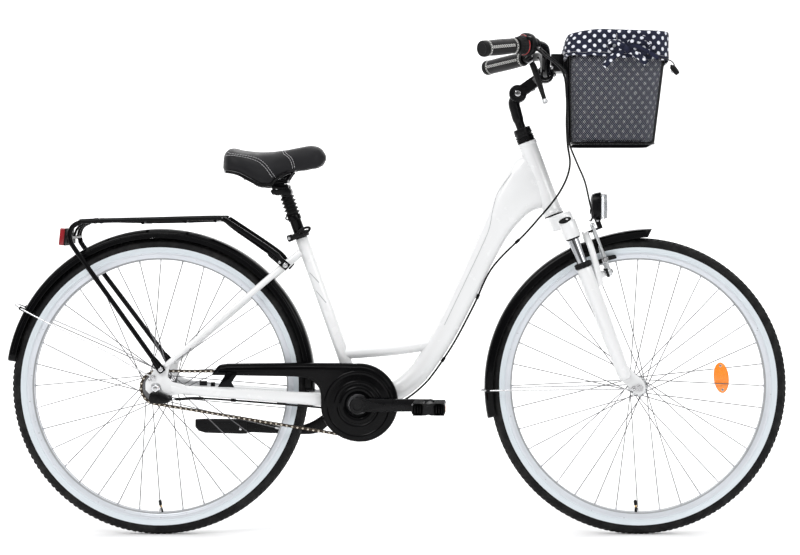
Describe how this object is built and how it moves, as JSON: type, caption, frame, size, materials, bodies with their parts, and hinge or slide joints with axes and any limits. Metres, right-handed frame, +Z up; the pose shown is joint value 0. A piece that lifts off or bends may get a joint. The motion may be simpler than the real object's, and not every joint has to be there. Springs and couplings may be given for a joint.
{
  "type": "city bike",
  "caption": "Step-through city bike with suspension fork, swept handlebar, lined wire basket, full fenders, chain case, rear rack, rear kickstand and sprung seatpost.",
  "frame": {"origin": "on the ground under the middle of the bike's outline, on its centre plane", "axes": "+X forward, +Y to the rider's left, +Z up"},
  "size_m": [1.8453, 0.6288, 1.187],
  "materials": {
    "alloy": "satin",
    "basket_cloth": "matte",
    "black_gloss": "gloss",
    "black_matt": "matte",
    "black_paint": "gloss",
    "cable_sheath": "satin",
    "chain_bronze": "satin",
    "chrome": "polished",
    "frame_paint": "gloss",
    "leather": "matte",
    "reflector_orange": "gloss",
    "reflector_red": "gloss",
    "rim_alloy": "satin",
    "rubber": "matte",
    "steel": "satin"
  },
  "bodies": {
    "frame": {"head_tube": "frame_paint", "main_tube": "frame_paint", "cross_tube": "frame_paint", "seat_tube": "frame_paint", "chainstays": "frame_paint", "seatstays": "frame_paint", "bottom_bracket": "steel", "rear_axle": "steel", "rear_fender": "black_gloss", "rear_fender_stay": "black_gloss", "rear_rack": "black_paint", "rear_light": "reflector_red", "chain_case": "black_paint", "chain": "chain_bronze", "seat_clamp": "black_paint", "gear_cable": "cable_sheath"},
    "steering": {"fork_crown": "frame_paint", "headset_locknut": "black_matt", "stem_quill": "black_matt", "stem_arm": "black_gloss", "handlebar": "black_paint", "right_grip": "leather", "left_grip": "leather", "control_clamp": "black_matt", "basket_bracket": "black_paint", "basket": "black_matt", "basket_liner": "basket_cloth", "bell": "chrome", "brake_cable": "cable_sheath"},
    "shift_grip": {"shift_grip": "black_matt"},
    "brake_lever": {"brake_lever": "black_gloss"},
    "bell_lever": {"bell_lever": "black_matt"},
    "fork_lowers": {"fork_lowers": "frame_paint", "front_axle": "steel", "front_fender": "black_gloss", "front_fender_stay": "black_gloss", "headlight": "black_gloss"},
    "right_brake_arm": {"right_brake_arm": "alloy"},
    "left_brake_arm": {"left_brake_arm": "alloy"},
    "front_wheel": {"front_tyre": "rubber", "front_rim": "rim_alloy", "front_hub_with_spokes": "steel", "wheel_reflector": "reflector_orange"},
    "rear_wheel": {"rear_tyre": "rubber", "rear_rim": "rim_alloy", "rear_hub_with_spokes": "steel"},
    "rear_cog": {"rear_sprocket": "steel"},
    "crank": {"right_crank": "black_gloss", "left_crank": "black_gloss", "crank_spindle": "steel"},
    "right_pedal": {"right_pedal": "black_matt"},
    "left_pedal": {"left_pedal": "black_matt"},
    "kickstand": {"kickstand_leg": "black_paint"},
    "seat_clamp_lever": {"seat_clamp_lever": "black_paint"},
    "seatpost": {"seatpost": "black_paint"},
    "saddle": {"seatpost_plunger": "black_paint", "seatpost_bellows": "rubber", "saddle_rails": "black_paint", "saddle": "leather"},
    "rack_clip": {"rack_clip": "black_paint"}
  },
  "joints": [
    {"name": "steering", "type": "hinge", "parent": "frame", "child": "steering", "pos_m": [0.3712, 0, 0.7585], "axis": [-0.3514, 0, 0.9362], "range_deg": [-60, 60], "deforming": ["gear_cable"]},
    {"name": "shift_twist", "type": "hinge", "parent": "steering", "child": "shift_grip", "pos_m": [0.29166, -0.22222, 1.14141], "axis": [0.7071, 0.6995, 0.1038], "range_deg": [-60, 60]},
    {"name": "brake_lever", "type": "hinge", "parent": "steering", "child": "brake_lever", "pos_m": [0.3127, -0.186, 1.115], "axis": [-0.7222, 0.441, -0.5329], "range_deg": [0, 25], "stiffness_Nm_per_rad": 0.8, "springref_deg": -14.32},
    {"name": "bell_lever", "type": "hinge", "parent": "steering", "child": "bell_lever", "pos_m": [0.3177, 0.061, 1.0729], "axis": [-0.7507, 0, 0.6606], "range_deg": [0, 25], "stiffness_Nm_per_rad": 0.05, "springref_deg": -17.19},
    {"name": "fork_slide", "type": "slide", "parent": "steering", "child": "fork_lowers", "axis": [-0.3514, 0, 0.9362], "range_m": [0, 0.035], "stiffness_N_per_m": 8000, "springref_m": -0.02, "deforming": ["brake_cable"]},
    {"name": "right_brake_arm", "type": "hinge", "parent": "fork_lowers", "child": "right_brake_arm", "pos_m": [0.49788, -0.04, 0.6202], "axis": [-0.9362, 0, -0.3514], "range_deg": [0, 4.1]},
    {"name": "left_brake_arm", "type": "hinge", "parent": "fork_lowers", "child": "left_brake_arm", "pos_m": [0.49788, 0.04, 0.6202], "axis": [0.9362, 0, 0.3514], "range_deg": [0, 4.1]},
    {"name": "front_wheel_spin", "type": "hinge", "parent": "fork_lowers", "child": "front_wheel", "pos_m": [0.5712, 0, 0.351], "axis": [0, 1, 0], "continuous": true},
    {"name": "rear_wheel_spin", "type": "hinge", "parent": "frame", "child": "rear_wheel", "pos_m": [-0.5608, 0, 0.351], "axis": [0, 1, 0], "continuous": true},
    {"name": "cog_spin", "type": "hinge", "parent": "frame", "child": "rear_cog", "pos_m": [-0.5608, -0.049, 0.351], "axis": [0, 1, 0], "continuous": true},
    {"name": "crank_spin", "type": "hinge", "parent": "frame", "child": "crank", "pos_m": [-0.0883, 0, 0.3115], "axis": [0, 1, 0], "continuous": true},
    {"name": "right_pedal_spin", "type": "hinge", "parent": "crank", "child": "right_pedal", "pos_m": [0.0817, -0.135, 0.3115], "axis": [0, 1, 0], "continuous": true},
    {"name": "left_pedal_spin", "type": "hinge", "parent": "crank", "child": "left_pedal", "pos_m": [-0.2583, 0.135, 0.3115], "axis": [0, 1, 0], "continuous": true},
    {"name": "kickstand", "type": "hinge", "parent": "frame", "child": "kickstand", "pos_m": [-0.1508, 0.04, 0.291], "axis": [0, -0.9682, -0.2501], "range_deg": [0, 115]},
    {"name": "seat_clamp_lever", "type": "hinge", "parent": "frame", "child": "seat_clamp_lever", "pos_m": [-0.25219, -0.0215, 0.70165], "axis": [0.3355, 0, -0.942], "range_deg": [0, 150]},
    {"name": "seatpost_height", "type": "slide", "parent": "frame", "child": "seatpost", "axis": [-0.3355, 0, 0.942], "range_m": [-0.028, 0.05]},
    {"name": "seatpost_suspension", "type": "slide", "parent": "seatpost", "child": "saddle", "axis": [0.3355, 0, -0.942], "range_m": [0, 0.03], "stiffness_N_per_m": 12000, "springref_m": -0.01, "deforming": ["seatpost_bellows"]},
    {"name": "rack_clip", "type": "hinge", "parent": "frame", "child": "rack_clip", "pos_m": [-0.7098, 0, 0.7426], "axis": [0, -1, 0], "range_deg": [0, 60], "stiffness_Nm_per_rad": 0.8, "springref_deg": -22.92}
  ],
  "couplings": [
    {"joint": "right_brake_arm", "follows": "brake_lever", "ratio": 0.16},
    {"joint": "left_brake_arm", "follows": "brake_lever", "ratio": 0.16},
    {"joint": "cog_spin", "follows": "crank_spin", "ratio": 2}
  ]
}
